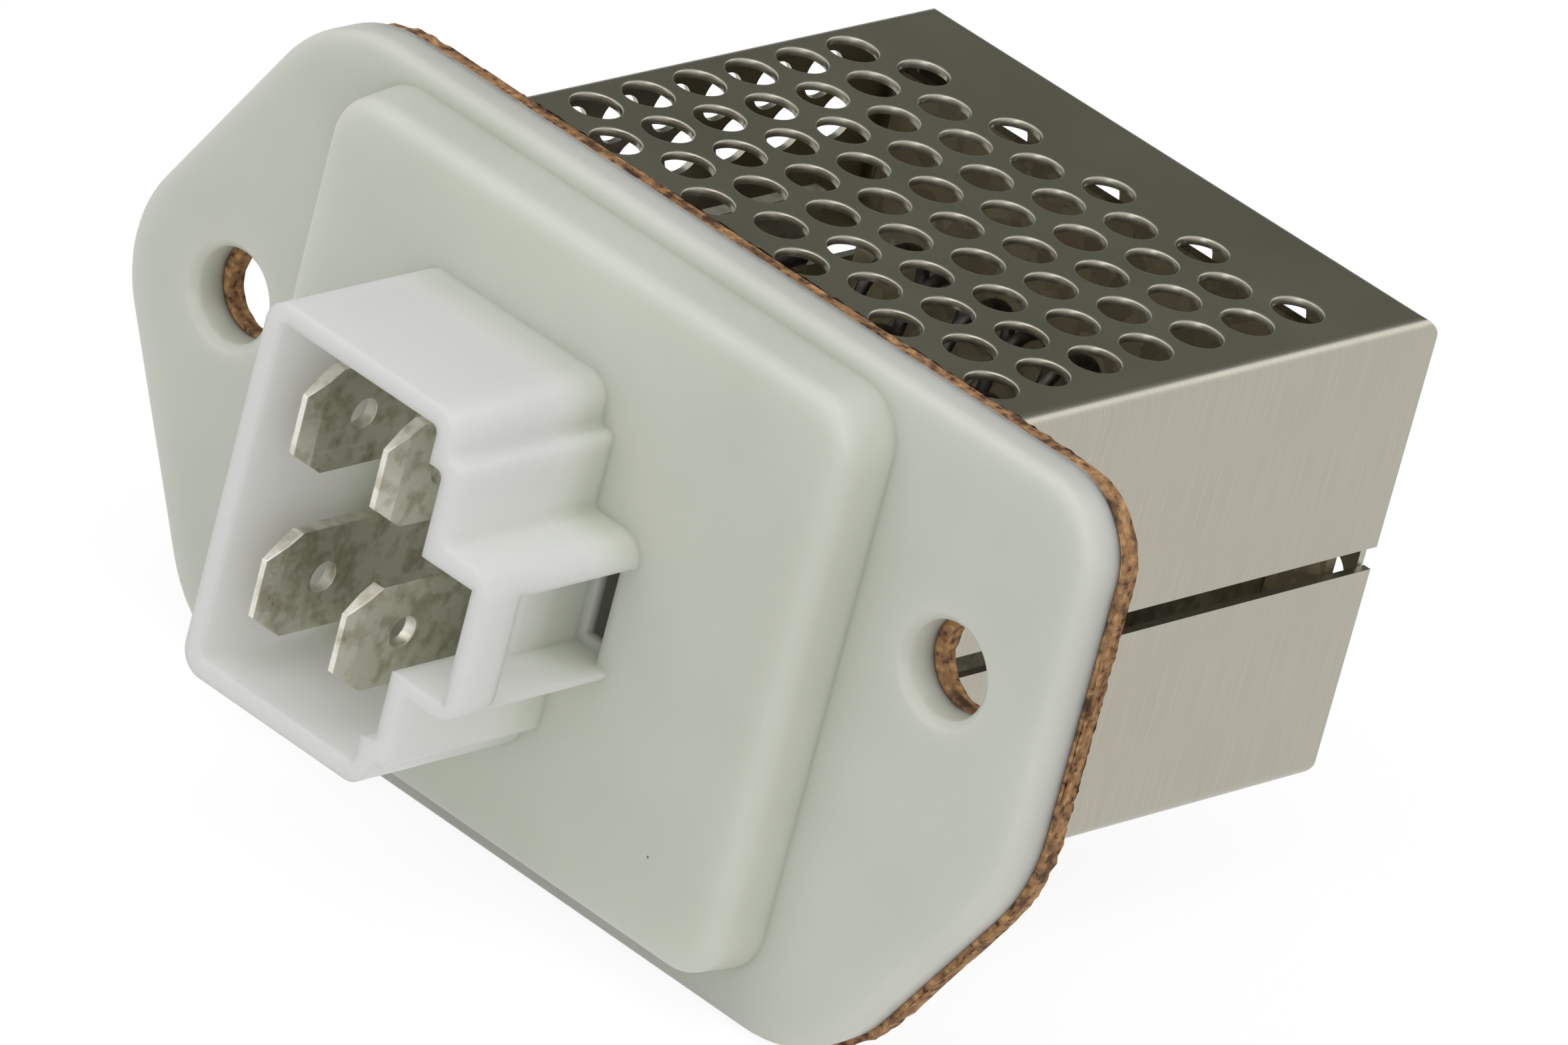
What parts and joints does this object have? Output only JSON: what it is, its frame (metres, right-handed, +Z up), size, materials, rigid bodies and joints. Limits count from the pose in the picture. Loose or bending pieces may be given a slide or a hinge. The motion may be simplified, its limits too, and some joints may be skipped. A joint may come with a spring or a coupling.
{
  "type": "blower motor resistor",
  "caption": "Plastic flange with a keyed blade connector and side latch window on its front, a fibre gasket, and a folded perforated cage round resistance coils.",
  "frame": {"origin": "midway between the two mounting holes, on the gasket's rear face", "axes": "+X along the flange towards its square end, +Y out of the gasket's rear face towards the cage's closed end, +Z up"},
  "size_m": [0.0696, 0.06, 0.0394],
  "materials": {
    "nylon": "natural nylon, semi-matt, slightly translucent",
    "fibre": "speckled pressed fibre",
    "stainless": "rolled, fine grain",
    "tinned_brass": "tin plated, tarnished",
    "resistance_wire": "dull drawn wire",
    "fuse_case": "satin",
    "fuse_resin": "glossy cured resin",
    "lead_wire": "tinned",
    "crimp_brass": "plain brass",
    "mica": "pressed mica sheet, satin"
  },
  "bodies": {
    "root": {"base_moulding": "nylon", "gasket": "fibre", "cage": "stainless", "terminal_upper_left": "tinned_brass", "terminal_upper_right": "tinned_brass", "terminal_lower_left": "tinned_brass", "terminal_lower_right": "tinned_brass", "junction_post": "tinned_brass", "coil_high": "resistance_wire", "coil_medium": "resistance_wire", "coil_low": "resistance_wire", "fuse_can": "fuse_case", "fuse_seal": "fuse_resin", "fuse_lead_left": "lead_wire", "fuse_lead_right": "lead_wire", "crimp_left": "crimp_brass", "crimp_right": "crimp_brass", "mica_card": "mica"}
  },
  "joints": []
}
